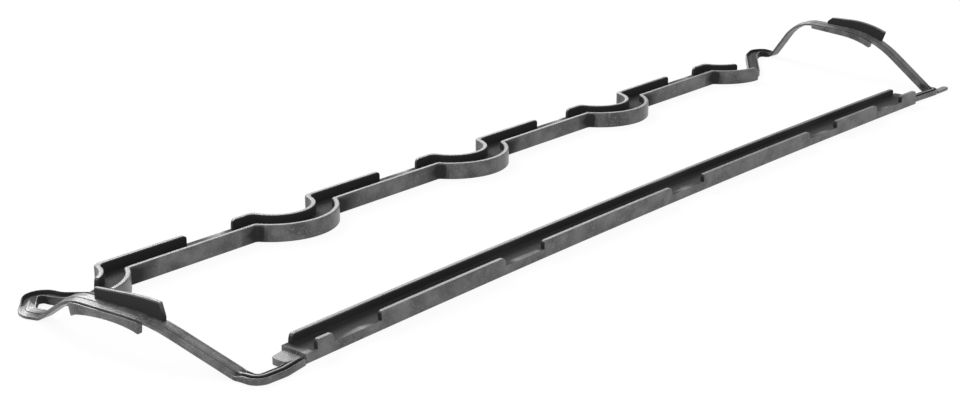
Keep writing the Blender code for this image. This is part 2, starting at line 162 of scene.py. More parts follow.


# %% [markdown]
# Hands, cloths and dust reach the outer faces of the real gasket and turn them grey and smooth,
# while the insides of its channels stay dull; the finish paints shade there as a near-black colour.
# How open a place is can be measured: from each corner of each face a dome of short rays goes out,
# and the share that hits nothing is kept.

# %% Measure how open each place is
OPEN_REACH = 7.0
RAY_COUNT = 24
LOWEST_RAY = 0.1
RAY_SPREAD = 0.8
RAY_INSET = 0.15
RAY_LIFT = 0.05
GOLDEN_ANGLE = math.pi * (3.0 - math.sqrt(5.0))


def dome():
    """Directions spread evenly over a dome around +Z."""
    rays = []
    for i in range(RAY_COUNT):
        up = LOWEST_RAY + RAY_SPREAD * i / RAY_COUNT
        flat = math.sqrt(1.0 - up * up)
        rays.append(Vector((flat * math.cos(GOLDEN_ANGLE * i), flat * math.sin(GOLDEN_ANGLE * i), up)))
    return rays


def measure_openness(work, beside):
    """Write the open share of every face corner to the layer called open."""
    trees = [BVHTree.FromBMesh(work)]
    if beside is not None:
        neighbour = bmesh.new()
        neighbour.from_mesh(beside.data)
        trees.append(BVHTree.FromBMesh(neighbour))
        neighbour.free()
    layer = work.loops.layers.float.new("open")
    rays = dome()
    for face in work.faces:
        turn = face.normal.to_track_quat("Z", "Y")
        middle = face.calc_center_median()
        turned = [turn @ ray for ray in rays]
        for corner in face.loops:
            start = corner.vert.co.lerp(middle, RAY_INSET) + face.normal * RAY_LIFT * MM
            hits = 0
            for ray in turned:
                if any(tree.ray_cast(start, ray, OPEN_REACH * MM)[0] for tree in trees):
                    hits += 1
            corner[layer] = 1.0 - hits / RAY_COUNT


print("each corner sends", len(dome()), "rays of", OPEN_REACH, "mm")

# %% [markdown]
# A bar becomes a piece of the gasket when its points are moved to their places. The bar is cut
# first wherever it has to bend, because a face only bends at its edges. A bar that isn't closed
# would spoil the merging later, so the loose edges are counted here.

# %% Finish a bar
WELD = 0.0005


def finish_bar(name, work, stations, place, beside=None):
    """Cut a bar at its stations, bend it with place(along, across, up) and give it an object."""
    for value in stations:
        cut(work, (value, 0.0, 0.0), (1.0, 0.0, 0.0))
    for vertex in work.verts:
        vertex.co = (place(*vertex.co) + origin) * MM
    bmesh.ops.remove_doubles(work, verts=work.verts, dist=WELD * MM)
    bmesh.ops.recalc_face_normals(work, faces=work.faces)
    measure_openness(work, beside)
    loose = sum(1 for edge in work.edges if len(edge.link_faces) != 2)
    mesh = bpy.data.meshes.new(name)
    work.to_mesh(mesh)
    work.free()
    bar = bpy.data.objects.new(name, mesh)
    bpy.context.scene.collection.objects.link(bar)
    print(name, "has", len(mesh.polygons), "faces and", loose, "loose edges")
    return bar


# %% [markdown]
# The far side goes round each bolt on an arc, and leaves it over a shoulder. The outer edge has a
# rounder shoulder than the inner one, which is what makes the wall look so full there. In bar
# coordinates each lobe takes the same length, so one formula places any point of the bar.

# %% Route of the far side
LOBE_RADIUS = 16.1
LOBE_CENTRE_OFFSET = 5.3
INNER_SHOULDER = 1.5
OUTER_SHOULDER = 3.0
ARC_RUN = 18.0
LOBE_RUN = 24.0


def lobe_shape(across):
    """Radius, shoulder radius, drop and reach of the shoulder centres, at a distance across."""
    radius = LOBE_RADIUS - across
    shoulder = INNER_SHOULDER + (OUTER_SHOULDER - INNER_SHOULDER) * (0.5 + across / CHANNEL_WIDTH)
    drop = LOBE_CENTRE_OFFSET - across + shoulder
    reach = math.sqrt((radius + shoulder) ** 2 - drop ** 2)
    return radius, shoulder, drop, reach


def far_place(along, across, up):
    """Bend the far bar round its lobes."""
    number = round(along / BOLT_PITCH)
    local = along - number * BOLT_PITCH
    radius, shoulder, drop, reach = lobe_shape(across)
    leave = math.atan2(-drop, reach)
    side = math.copysign(1.0, local)
    if abs(local) <= ARC_RUN:
        angle = -math.pi / 2 + (leave + math.pi / 2) * local / ARC_RUN
        x = radius * math.cos(angle)
        y = LOBE_CENTRE_OFFSET + radius * math.sin(angle)
    elif abs(local) <= LOBE_RUN:
        turn = (abs(local) - ARC_RUN) / (LOBE_RUN - ARC_RUN)
        angle = (math.pi + leave) * (1.0 - turn) + math.pi / 2 * turn
        x = side * (reach + shoulder * math.cos(angle))
        y = LOBE_CENTRE_OFFSET - drop + shoulder * math.sin(angle)
    else:
        stretch = (BOLT_PITCH / 2 - reach) / (BOLT_PITCH / 2 - LOBE_RUN)
        x = side * (reach + (abs(local) - LOBE_RUN) * stretch)
        y = across
    return Vector((number * BOLT_PITCH + x, y, up))


def along_from_x(x, across):
    """Bar coordinate of a place on a straight stretch."""
    number = round(x / BOLT_PITCH)
    local = x - number * BOLT_PITCH
    reach = lobe_shape(across)[3]
    stretch = (BOLT_PITCH / 2 - LOBE_RUN) / (BOLT_PITCH / 2 - reach)
    side = math.copysign(1.0, local)
    return number * BOLT_PITCH + side * (LOBE_RUN + (abs(local) - reach) * stretch)


def along_from_angle(number, degrees, across):
    """Bar coordinate of an angle on a lobe, in degrees from +X."""
    shape = lobe_shape(across)
    leave = math.atan2(-shape[2], shape[3])
    return number * BOLT_PITCH + ARC_RUN * (math.radians(degrees + 90.0)) / (leave + math.pi / 2)


print("a shoulder stands", round(lobe_shape(FACE)[3], 1), "mm from its bolt")

# %% [markdown]
# The far channel: a base, a wall all along its inner edge, and tabs on its outer edge that each
# start before a bolt and stop short of the next. The gaps let the cover's rim breathe and flex.

# %% Far channel
TAB_GAP = 19.5
FAR_TAB_START = 20.9
FIRST_TAB_ANGLE = -66.0
LAST_TAB_ANGLE = -106.0
CHANNEL_START_ANGLE = -82.0
WALL_TRIM_ANGLE = 1.2
WALL_ROUND = 0.5
END_ROUND = 1.1
FOOT_FILLET = 0.35
EDGE_ROUND = 0.25
STATION = 0.75
STRAIGHT_STATION = 8.0


def end_edges(top):
    """Chooser of the short top edges at the ends of walls and tabs of one height."""
    def chosen(middle, run):
        """Whether an edge lies at that height and runs across the wall."""
        return abs(run.y) > WALL_THICKNESS / 2 and abs(run.x) < SAME and abs(middle.z - top) < SAME
    return chosen


def wall_edges(middle, run):
    """All edges above the base, apart from upright ones on its outer faces, where walls are flush."""
    upright = abs(run.x) + abs(run.y) < SAME and abs(middle.y) > HALF - SAME
    return middle.z > BASE_HEIGHT + 0.1 and not upright


def floor_edges(middle, run):
    """The long inner corner of the channel, where the inner wall stands on the floor."""
    return abs(middle.z - BASE_HEIGHT) < SAME and abs(middle.y + WALL_INSIDE) < SAME


def bottom_edges(middle, run):
    """All edges of the underside."""
    return middle.z < SAME


def channel_bar(start, end, wall, tabs, tab_height):
    """A straight channel with its inner wall and its tabs, softened all over."""
    across = [-HALF, -WALL_INSIDE, WALL_INSIDE, HALF]
    along = sorted({start, end, *wall, *(value for tab in tabs for value in tab)})
    work = start_bar(along, across, 0.0, BASE_HEIGHT)
    raise_cells(work, wall, (-HALF, -WALL_INSIDE), BASE_HEIGHT, INNER_WALL_HEIGHT - BASE_HEIGHT)
    for tab in tabs:
        raise_cells(work, tab, (WALL_INSIDE, HALF), BASE_HEIGHT, tab_height - BASE_HEIGHT)
    soften(work, END_ROUND, end_edges(INNER_WALL_HEIGHT))
    soften(work, END_ROUND, end_edges(tab_height))
    soften(work, WALL_ROUND, wall_edges)
    soften(work, FOOT_FILLET, floor_edges)
    soften(work, EDGE_ROUND, bottom_edges)
    return work


def far_tabs():
    """Start and end of each far tab along the bar."""
    tabs = []
    for number in range(LOBE_COUNT):
        start = number * BOLT_PITCH - FAR_TAB_START
        first = along_from_x(start, FACE)
        if number == 0:
            first = along_from_angle(0, FIRST_TAB_ANGLE, FACE)
        last = along_from_x(start + BOLT_PITCH - TAB_GAP, FACE)
        if number == LOBE_COUNT - 1:
            last = along_from_angle(number, LAST_TAB_ANGLE, FACE)
        tabs.append((first, last))
    return tabs


def far_stations(start, end):
    """Where the bar is cut so that it bends smoothly: close together round the lobes."""
    stations = []
    for number in range(LOBE_COUNT):
        middle = number * BOLT_PITCH
        steps = round(2 * LOBE_RUN / STATION)
        stations += [middle - LOBE_RUN + STATION * i for i in range(steps + 1)]
        next_lobe = BOLT_PITCH - LOBE_RUN
        for side in (LOBE_RUN + STRAIGHT_STATION, BOLT_PITCH / 2, next_lobe - STRAIGHT_STATION):
            stations.append(middle + side)
    return [value for value in stations if start < value < end]


far_start = along_from_angle(0, CHANNEL_START_ANGLE, 0.0)
far_end = LAST_BOLT
far_wall = (along_from_angle(0, CHANNEL_START_ANGLE + WALL_TRIM_ANGLE, -FACE),
            along_from_angle(LOBE_COUNT - 1, -90.0 - WALL_TRIM_ANGLE, -FACE))
far_bar = channel_bar(far_start, far_end, far_wall, far_tabs(), FAR_TAB_HEIGHT)
far_channel = finish_bar("far_channel", far_bar, far_stations(far_start, far_end), far_place)

# %% [markdown]
# The near side is the same channel without lobes. A limp gasket on a table never lies quite
# straight, so its route is a shallow parabola, a few millimetres deep over its length.

# %% Near channel
NEAR_SKEW = 1.6
NEAR_BOW = 2.9
NEAR_START = 11.0
NEAR_END = LAST_BOLT + 8.5
NEAR_WALL_START = 2.6
NEAR_WALL_SETBACK = 4.5
NEAR_TAB_SETBACK = 4.6
NEAR_FIRST_GAP = 32.0
NEAR_SECOND_GAP = 20.0
NEAR_GAP_DRIFT = 2.5
NEAR_LAST_GAP = 21.4
NEAR_STATION = 12.0


def near_y(x):
    """The middle line of the near channel at a place along X."""
    share = (x - NEAR_START) / (NEAR_END - NEAR_START)
    return -SIDE_SPACING - NEAR_SKEW * (1 - share) + 4 * NEAR_BOW * share * (1 - share)


def near_place(along, across, up):
    """Lay the near bar on its middle line, with the tabs on the outer side."""
    return Vector((along, near_y(along) - across, up))


def near_tabs():
    """Start and end of each near tab: the gaps drift away from the bolts towards the far end."""
    gaps = [NEAR_FIRST_GAP]
    for number in range(1, LOBE_COUNT - 1):
        gaps.append(number * BOLT_PITCH + NEAR_SECOND_GAP + (number - 1) * NEAR_GAP_DRIFT)
    gaps.append(NEAR_END - NEAR_LAST_GAP)
    edges = [NEAR_START + NEAR_TAB_SETBACK]
    for gap in gaps:
        edges += [gap - TAB_GAP / 2, gap + TAB_GAP / 2]
    edges.append(NEAR_END - WALL_STEP)
    return list(zip(edges[::2], edges[1::2]))


near_wall = (NEAR_START + NEAR_WALL_START, NEAR_END - NEAR_WALL_SETBACK)
near_bar = channel_bar(NEAR_START, NEAR_END, near_wall, near_tabs(), NEAR_TAB_HEIGHT)
near_steps = math.ceil((NEAR_END - NEAR_START) / NEAR_STATION)
near_stations = [NEAR_START + (NEAR_END - NEAR_START) * i / near_steps for i in range(1, near_steps)]
near_channel = finish_bar("near_channel", near_bar, near_stations, near_place)

# %% [markdown]
# At each end a narrow strip leaves the near channel, climbs over a camshaft bearing cap in an
# arch and turns back to the far channel through an ear. Its route is a few corners, each turned
# on its radius, in plan on the head and in side view over the cap.

# %% Routes of the end strips
ARC_STEP = math.radians(4.0)


def rounded(corners):
    """An open line through corners (x, y, radius), with each corner turned on its radius."""
    line = [Vector(corners[0][:2])]
    for before, corner, after in zip(corners, corners[1:], corners[2:]):
        here = Vector(corner[:2])
        back = (Vector(before[:2]) - here).normalized()
        ahead = (Vector(after[:2]) - here).normalized()
        half = math.acos(max(-1.0, min(1.0, back.dot(ahead)))) / 2
        centre = here + (back + ahead).normalized() * corner[2] / math.sin(half)
        first = here + back * corner[2] / math.tan(half) - centre
        last = here + ahead * corner[2] / math.tan(half) - centre
        start = math.atan2(first.y, first.x)
        turn = math.remainder(math.atan2(last.y, last.x) - start, 2 * math.pi)
        steps = max(2, math.ceil(abs(turn) / ARC_STEP))
        for i in range(steps + 1):
            angle = start + turn * i / steps
            line.append(centre + Vector((math.cos(angle), math.sin(angle))) * corner[2])
    line.append(Vector(corners[-1][:2]))
    return line


FOOT_RADIUS = 4.5


def arch_line(near, far, near_crown, far_crown):
    """The underside of an arch between two feet, each crown given as (inset, height, radius)."""
    length = (far - near).length
    corners = [(-FOOT_RADIUS, 0.0, 0.0), (0.0, 0.0, FOOT_RADIUS), near_crown,
               (length - far_crown[0], far_crown[1], far_crown[2]),
               (length, 0.0, FOOT_RADIUS), (length + FOOT_RADIUS, 0.0, 0.0)]
    run = (far - near) / length
    return [near + run * point.x + Vector((0.0, 0.0, point.y)) for point in rounded(corners)[1:-1]]


LEFT_NEAR_FOOT = Vector((-6.9, -SIDE_SPACING, 0.0))
LEFT_FAR_FOOT = Vector((-14.8, -6.8, 0.0))
LEFT_CROWNS = ((31.5, 8.9, 60.0), (12.9, 9.0, 14.0))
RIGHT_NEAR_FOOT = Vector((LAST_BOLT + 29.9, 1.7 - SIDE_SPACING, 0.0))
RIGHT_FAR_FOOT = Vector((LAST_BOLT + 40.6, 1.7, 0.0))
RIGHT_CROWNS = ((28.5, 18.6, 45.0), (13.7, 18.4, 18.0))

left_arch = arch_line(LEFT_NEAR_FOOT, LEFT_FAR_FOOT, *LEFT_CROWNS)
right_arch = arch_line(RIGHT_NEAR_FOOT, RIGHT_FAR_FOOT, *RIGHT_CROWNS)
print("arches rise", [round(max(point.z for point in arch), 1) for arch in (left_arch, right_arch)])

# %% [markdown]
# On the head the strip turns a corner from the near channel to the arch, and behind the arch it
# swings out round an ear before it meets the last lobe. The corners are read off the photograph,
# and the ends are tied to the channels, so the strips meet them whatever their size.

# %% Corners and ears in plan
# Each corner is x, y and the radius that it is turned on
LEFT_CORNER = ((2.0, -6.75 - SIDE_SPACING, 8.0), (-6.8, -6.4 - SIDE_SPACING, 3.0))
LEFT_CORNER_LEAD = 1.2
LEFT_CORNER_INSET = 3.6
LEFT_EAR = ((-16.5, -0.3, 4.5), (-6.3, 9.7, 3.6), (-4.6, 0.0, 8.0))
LEFT_EAR_ROOT_ANGLE = -74.0
RIGHT_CORNER = (LAST_BOLT + 29.2, -3.0 - SIDE_SPACING, 3.0)
RIGHT_CORNER_INSET = 1.2
RIGHT_EAR = ((LAST_BOLT + 39.65, 9.9, 4.0), (LAST_BOLT + 29.0, 6.2, 8.0))
RIGHT_EAR_ROOT = (LAST_BOLT + 5.0, LOBE_CENTRE_OFFSET - LOBE_RADIUS + 0.4, 6.0)
STRIP_BITE = 2.0


def lobe_point(number, degrees):
    """The point of a lobe's middle line at an angle."""
    angle = math.radians(degrees)
    return Vector((number * BOLT_PITCH + LOBE_RADIUS * math.cos(angle),
                   LOBE_CENTRE_OFFSET + LOBE_RADIUS * math.sin(angle)))


def flat(points):
    """The same points on the sealing face."""
    return [Vector((point.x, point.y, 0.0)) for point in points]


left_start = (NEAR_START - LEFT_CORNER_LEAD, near_y(NEAR_START) - LEFT_CORNER_INSET, 0.0)
left_before = flat(rounded([left_start, *LEFT_CORNER, LEFT_NEAR_FOOT]))[:-1]
left_root = lobe_point(0, LEFT_EAR_ROOT_ANGLE)
left_after = flat(rounded([LEFT_FAR_FOOT, *LEFT_EAR, left_root]))[1:]

right_start = (NEAR_END - STRIP_BITE, -SIDE_SPACING - RIGHT_CORNER_INSET, 0.0)
right_before = flat(rounded([right_start, RIGHT_CORNER, RIGHT_NEAR_FOOT]))[:-1]
right_root = lobe_point(LOBE_COUNT - 1, -90.0) - Vector((STRIP_BITE, 0.0))
right_after = flat(rounded([RIGHT_FAR_FOOT, *RIGHT_EAR, RIGHT_EAR_ROOT, right_root]))[1:]
print("the ears have", len(left_after), "and", len(right_after), "points")

# %% [markdown]
# A route knows where it is and which way is left and up at any distance along it. A bar is cut at
# the route's own points, which stand close together in the bends, and every few millimetres
# between them. The direction is taken over a short run, so that no bend creases the strip.

# %% Follow a route
EASE_RUN = 1.8
ROUTE_STATION = 2.0
END_CLEARANCE = 0.3
MARK_CLEARANCE = 0.4


class Route:
    """Points of a strip's underside, with the distance of each from the start."""

    def __init__(self, before, arch, after):
        self.points = before + arch + after
        self.marks = [0.0]
        for point, ahead in zip(self.points, self.points[1:]):
            self.marks.append(self.marks[-1] + (ahead - point).length)
        self.arch_start = self.marks[len(before)]
        self.arch_end = self.marks[len(before) + len(arch) - 1]
        self.length = self.marks[-1]

    def point_at(self, along):
        """The point of the underside's middle line at a distance along."""
        i = min(len(self.marks) - 2, max(0, bisect.bisect_right(self.marks, along) - 1))
        share = (along - self.marks[i]) / (self.marks[i + 1] - self.marks[i])
        return self.points[i].lerp(self.points[i + 1], share)

    def stations(self, low, high):
        """The route's own points and places evenly between them, clear of the two ends."""
        found = [mark for mark in self.marks if low + END_CLEARANCE < mark < high - END_CLEARANCE]
        for i in range(1, int((high - low) / ROUTE_STATION)):
            value = low + i * ROUTE_STATION
            if min(abs(value - mark) for mark in self.marks) > MARK_CLEARANCE:
                found.append(value)
        return sorted(found)

    def place(self, along, across, up):
        """A point of the strip, from its bar coordinates."""
        behind = self.point_at(max(0.0, along - EASE_RUN))
        ahead = self.point_at(min(self.length, along + EASE_RUN))
        run = (ahead - behind).normalized()
        left = Vector((-run.y, run.x, 0.0)).normalized()
        return self.point_at(along) + left * across + run.cross(left) * up


left_route = Route(left_before, left_arch, left_after)
right_route = Route(right_before, right_arch, right_after)
print("strips are", round(left_route.length), "and", round(right_route.length), "mm long")

# %% [markdown]
# The strip's top carries two raised rims and a bead between them, which the cover squeezes. Over
# the arch they all but vanish into a smooth ribbon that slopes down towards its lip, and round the
# ear the rims stand high and the bead stays low. So the bar is made with one section, and its
# width, rims, bead and slope are changed along the way. A share is a part of the full height.

# %% End strips
STRIP_THICKNESS = 1.6
STRIP_LIFT = 0.03
ARCH_WIDTH = 5.0
CORNER_WIDTH = 3.8
EAR_WIDTH = 5.15
RIM_WIDTH = 0.7
RIM_HEIGHT = 0.4
ARCH_SHARE = 0.12
EAR_SHARE = 2.6
BEAD_WIDTH = 1.2
BEAD_HEIGHT = 0.7
BEAD_SHARE = 0.15
BEAD_ROUND = 0.4
RIM_ROUND = 0.3
CHANGE_RUN = 5.0
LEFT_RIM_DELAY = 11.0
SLOPE_FROM = -1.1
SLOPE_END = 3.5
SLOPE_DROP = 0.85
LONG_EDGE = 1.0


def blend(value, low, high):
    """0 below low, 1 above high, and smooth between."""
    share = min(1.0, max(0.0, (value - low) / (high - low)))
    return share * share * (3.0 - 2.0 * share)


def strip_bar(name, route, rim_delay):
    """A strip with its rims and bead along a route; the ear's rims rise after a delay."""
    half = ARCH_WIDTH / 2
    rim = half - RIM_WIDTH
    bead = BEAD_WIDTH / 2
    ends = [0.0, route.length]
    work = start_bar(ends, [-half, -rim, -bead, bead, rim, half], STRIP_LIFT, STRIP_THICKNESS)
    raise_cells(work, ends, (-half, -rim), STRIP_THICKNESS, RIM_HEIGHT)
    raise_cells(work, ends, (rim, half), STRIP_THICKNESS, RIM_HEIGHT)
    raise_cells(work, ends, (-bead, bead), STRIP_THICKNESS, BEAD_HEIGHT)
    bead_top = STRIP_THICKNESS + BEAD_HEIGHT
    rim_top = STRIP_THICKNESS + RIM_HEIGHT
    for top, offset in ((bead_top, BEAD_ROUND), (rim_top, RIM_ROUND), (STRIP_LIFT, EDGE_ROUND)):
        soften(work, offset, lambda middle, run: abs(middle.z - top) < SAME and abs(run.x) > LONG_EDGE)

    def change(along, middle):
        """0 before a place on the route, 1 behind it, over a short run."""
        return blend(along, middle - CHANGE_RUN / 2, middle + CHANGE_RUN / 2)

    def place(along, across, up):
        """Change the section for this place, then lay it on the route."""
        into_arch = change(along, route.arch_start)
        into_ear = change(along, route.arch_end)
        rims_up = change(along - rim_delay, route.arch_end)
        width = CORNER_WIDTH + (ARCH_WIDTH - CORNER_WIDTH) * into_arch
        width += (EAR_WIDTH - ARCH_WIDTH) * into_ear
        if abs(across) > (bead + rim) / 2:
            across += math.copysign(1.0, across) * (width - ARCH_WIDTH) / 2
            share = 1.0 + (ARCH_SHARE - 1.0) * into_arch + (EAR_SHARE - ARCH_SHARE) * rims_up
        else:
            share = 1.0 + (BEAD_SHARE - 1.0) * into_arch
        if up > STRIP_THICKNESS:
            up = STRIP_THICKNESS + (up - STRIP_THICKNESS) * share
        if up > STRIP_THICKNESS / 2:
            up -= SLOPE_DROP * blend(across, SLOPE_FROM, SLOPE_END) * (into_arch - rims_up)
        return route.place(along, across, up)

    return finish_bar(name, work, route.stations(0.0, route.length), place)


left_strip = strip_bar("left_strip", left_route, LEFT_RIM_DELAY)
right_strip = strip_bar("right_strip", right_route, 0.0)

# %% [markdown]
# A flange stands up on the inner edge of each arch and a lip hangs from the outer one: together
# they grip the bearing cap. Both are bars again, whose height changes along the way. The lip ends
# upwards in a thin ridge, with a dark groove between it and the ribbon.

# %% Flanges and lips
FLANGE_THICKNESS = 1.4
FLANGE_END_HEIGHT = 0.9
# Pairs are for the near and the far end of a fin
LEFT_FLANGE_HEIGHT = (5.2, 3.2)
RIGHT_FLANGE_HEIGHT = (4.55, 2.8)
LEFT_FLANGE_RAMP = (2.0, 0.0)
RIGHT_FLANGE_RAMP = (0.0, 2.0)
LEFT_FLANGE_INSET = (28.5, 20.0)
RIGHT_FLANGE_INSET = (25.5, 28.0)
LIP_THICKNESS = 1.6
LEFT_LIP_DEPTH = (2.9, 3.4)
LEFT_LIP_SAG = 1.4
RIGHT_LIP_DEPTH = (2.1, 0.9)
LEFT_LIP_INSET = (33.5, 13.9)
RIGHT_LIP_INSET = (27.5, 22.7)
LIP_GROOVE = 0.4
LIP_RIDGE = 0.6
LIP_RISE = 0.25
LIP_ROOT = 0.3
LEDGE = 0.15
OVERLAP = 0.8
FLANGE_ROUND = 0.4
RIDGE_ROUND = 0.18
FLAT_ANGLE = math.radians(1.0)


def between_feet(route, near, far, inset):
    """Bar coordinates of two insets, which are measured in plan from an arch's two feet."""
    run = (far - near).normalized()
    length = (far - near).length
    found = []
    for target in (inset[0], length - inset[1]):
        for i in range(len(route.marks) - 1):
            inside = route.arch_start <= route.marks[i] < route.arch_end
            a = (route.points[i] - near).dot(run)
            b = (route.points[i + 1] - near).dot(run)
            if inside and a <= target < b:
                share = (target - a) / (b - a)
                found.append(route.marks[i] + (route.marks[i + 1] - route.marks[i]) * share)
    return found


def fin(name, route, limits, across, root, heights, ramps, end_height, sag, ridge, beside):
    """A wall on the strip from root upwards, or downwards with negative heights, and its ridge.

    Its height goes from the first of the heights to the second, less a sag in between, and starts
    and ends at end_height where it has a ramp.
    """
    low, high = limits
    sign = math.copysign(1.0, heights[0])
    tip = root + heights[0]
    along = sorted({low, low + ramps[0], high - ramps[1], high})
    work = start_bar(along, list(across), min(root, tip), max(root, tip))
    if ridge > 0.0:
        raise_cells(work, (low, high), across[-2:], root, ridge)
    bmesh.ops.dissolve_limit(work, angle_limit=FLAT_ANGLE, verts=work.verts, edges=work.edges)
    soften(work, FLANGE_ROUND, lambda middle, run: sign * (middle.z - root) > 0.1)
    soften(work, RIDGE_ROUND, lambda middle, run: ridge > 0.0 and middle.z > root + ridge - SAME)

    def place(along, across, up):
        """Bring the tip to its height at this place, then lay it on the route."""
        share = (along - low) / (high - low)
        height = abs(heights[0] + (heights[1] - heights[0]) * share) - 4 * sag * share * (1 - share)
        rise = 1.0
        if ramps[0] > 0.0:
            rise = min(rise, (along - low) / ramps[0])
        if ramps[1] > 0.0:
            rise = min(rise, (high - along) / ramps[1])
        height = end_height + (height - end_height) * rise
        if sign * (up - root) > end_height / 2:
            up += sign * (height - abs(heights[0]))
        return route.place(along, across, up)

    return finish_bar(name, work, route.stations(low, high), place, beside)


def flange_and_lip(side, strip, route, near, far, flange, lip):
    """Both fins of one arch: flange (inset, heights, ramps), lip (inset, depths, sag, stand-off)."""
    edge = ARCH_WIDTH / 2 - LEDGE
    root = STRIP_THICKNESS - OVERLAP
    heights = [height + OVERLAP for height in flange[1]]
    depths = [-depth - LIP_ROOT for depth in lip[1]]
    outer = ARCH_WIDTH / 2 + lip[3]
    lip_across = (outer - LIP_THICKNESS - LIP_GROOVE, outer - LIP_RIDGE, outer)
    return [fin(side + "_flange", route, between_feet(route, near, far, flange[0]),
                (-edge, FLANGE_THICKNESS - edge), root, heights, flange[2],
                FLANGE_END_HEIGHT + OVERLAP, 0.0, 0.0, strip),
            fin(side + "_lip", route, between_feet(route, near, far, lip[0]),
                lip_across, LIP_ROOT, depths, (0.0, 0.0), LIP_ROOT, lip[2], LIP_RISE, None)]


fins = flange_and_lip("left", left_strip, left_route, LEFT_NEAR_FOOT, LEFT_FAR_FOOT,
                      (LEFT_FLANGE_INSET, LEFT_FLANGE_HEIGHT, LEFT_FLANGE_RAMP),
                      (LEFT_LIP_INSET, LEFT_LIP_DEPTH, LEFT_LIP_SAG, LIP_GROOVE + LIP_RIDGE))
fins += flange_and_lip("right", right_strip, right_route, RIGHT_NEAR_FOOT, RIGHT_FAR_FOOT,
                       (RIGHT_FLANGE_INSET, RIGHT_FLANGE_HEIGHT, RIGHT_FLANGE_RAMP),
                       (RIGHT_LIP_INSET, RIGHT_LIP_DEPTH, 0.0, LIP_GROOVE + LIP_RIDGE))

# %% [markdown]
# Two small flats finish the corners: the pad beside the near channel's left end, where the mould
# was filled, and the tongue that points on past the right arch, which a fitter pulls it by.

# %% Pad and tongue
PAD_LENGTH = 7.2
PAD_WIDTH = 7.6
PAD_SETBACK = 0.8
PAD_LIFT = 0.2
PAD_HEIGHT = 2.2
PAD_RADIUS = 1.5
TONGUE_REACH = 8.5
TONGUE_WIDTH = 2.8
TONGUE_LIFT = 0.2
TONGUE_HEIGHT = 1.2
TONGUE_BITE = 1.1
TONGUE_SHIFT = 0.3
TONGUE_ROUND = 1.3
PLAN_SEGMENTS = 8


def tablet(name, corners, bottom, top, radius, tip):
    """A flat piece on four corners, its upright edges on the tip's side rounded in plan."""
    work = bmesh.new()
    face = work.faces.new([work.verts.new((x, y, bottom)) for x, y in corners])
    grown = bmesh.ops.extrude_face_region(work, geom=[face])["geom"]
    raised = [item for item in grown if isinstance(item, bmesh.types.BMVert)]
    bmesh.ops.translate(work, vec=(0.0, 0.0, top - bottom), verts=raised)
    bmesh.ops.recalc_face_normals(work, faces=work.faces)
    middle_x = sum(corner[0] for corner in corners) / len(corners)
    upright = [edge for edge in work.edges
               if abs(edge.verts[0].co.z - edge.verts[1].co.z) > SAME
               and tip * (edge.verts[0].co.x - middle_x) > 0.0]
    bmesh.ops.bevel(work, geom=upright, offset=radius, offset_type="OFFSET", segments=PLAN_SEGMENTS,
                    profile=0.5, affect="EDGES", clamp_overlap=True, material=-1)
    soften(work, EDGE_ROUND, lambda middle, run: abs(middle.z - top) < SAME)
    return finish_bar(name, work, [], lambda x, y, z: Vector((x, y, z)))


pad_right = NEAR_START + OVERLAP
pad_left = pad_right - PAD_LENGTH
pad_inner = near_y(NEAR_START) + HALF - PAD_SETBACK
pad_outer = pad_inner - PAD_WIDTH
pad_corners = [(pad_right, pad_outer), (pad_right, pad_inner),
               (pad_left, pad_inner - PAD_RADIUS), (pad_left, pad_outer)]
pad = tablet("pad", pad_corners, PAD_LIFT, PAD_HEIGHT, PAD_RADIUS, -1.0)

tongue_left = RIGHT_NEAR_FOOT.x - TONGUE_BITE
tongue_right = RIGHT_NEAR_FOOT.x + TONGUE_REACH
tongue_near = RIGHT_CORNER[1] - TONGUE_SHIFT - TONGUE_WIDTH / 2
tongue_far = tongue_near + TONGUE_WIDTH
tongue_corners = [(tongue_left, tongue_near), (tongue_right, tongue_near),
                  (tongue_right, tongue_far), (tongue_left, tongue_far)]
tongue = tablet("tongue", tongue_corners, TONGUE_LIFT, TONGUE_HEIGHT, TONGUE_ROUND, 1.0)

# %% [markdown]
# The real gasket comes out of one mould in one piece, so the bars are merged into one closed
# solid. A union of closed bars keeps every fillet and stays closed, and the shading is smoothed
# except at true edges.

# %% Merge everything
MERGED_WELD = 0.001
SMOOTH_UNDER = math.radians(32.0)


def merge(name, bars):
    """One solid from bars that run into each other."""
    body, *others = bars
    for other in others:
        union = body.modifiers.new(other.name, "BOOLEAN")
        union.operation = "UNION"
        union.solver = "MANIFOLD"
        union.object = other
    bpy.context.view_layer.update()
    evaluated = body.evaluated_get(bpy.context.evaluated_depsgraph_get())
    mesh = bpy.data.meshes.new_from_object(evaluated)
    mesh.name = name
    for bar in bars:
        used = bar.data
        bpy.data.objects.remove(bar)
        bpy.data.meshes.remove(used)
    return mesh


bars = [far_channel, near_channel, left_strip, right_strip, *fins, pad, tongue]
gasket_mesh = merge("gasket_rubber", bars)
work = bmesh.new()
work.from_mesh(gasket_mesh)
bmesh.ops.remove_doubles(work, verts=work.verts, dist=MERGED_WELD * MM)
open_edges = sum(1 for edge in work.edges if len(edge.link_faces) != 2)
for edge in work.edges:
    edge.smooth = len(edge.link_faces) == 2 and edge.calc_face_angle() < SMOOTH_UNDER
for face in work.faces:
    face.smooth = True
print("merged into", len(work.faces), "faces with", open_edges, "open edges and",
      round(work.calc_volume() / MM ** 3), "cubic mm")
work.to_mesh(gasket_mesh)
work.free()
gasket = bpy.data.objects.new("gasket_rubber", gasket_mesh)
bpy.context.scene.collection.objects.link(gasket)
even = gasket.modifiers.new("even_shading", "WEIGHTED_NORMAL")
even.keep_sharp = True
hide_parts("gasket")
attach(gasket, "root")
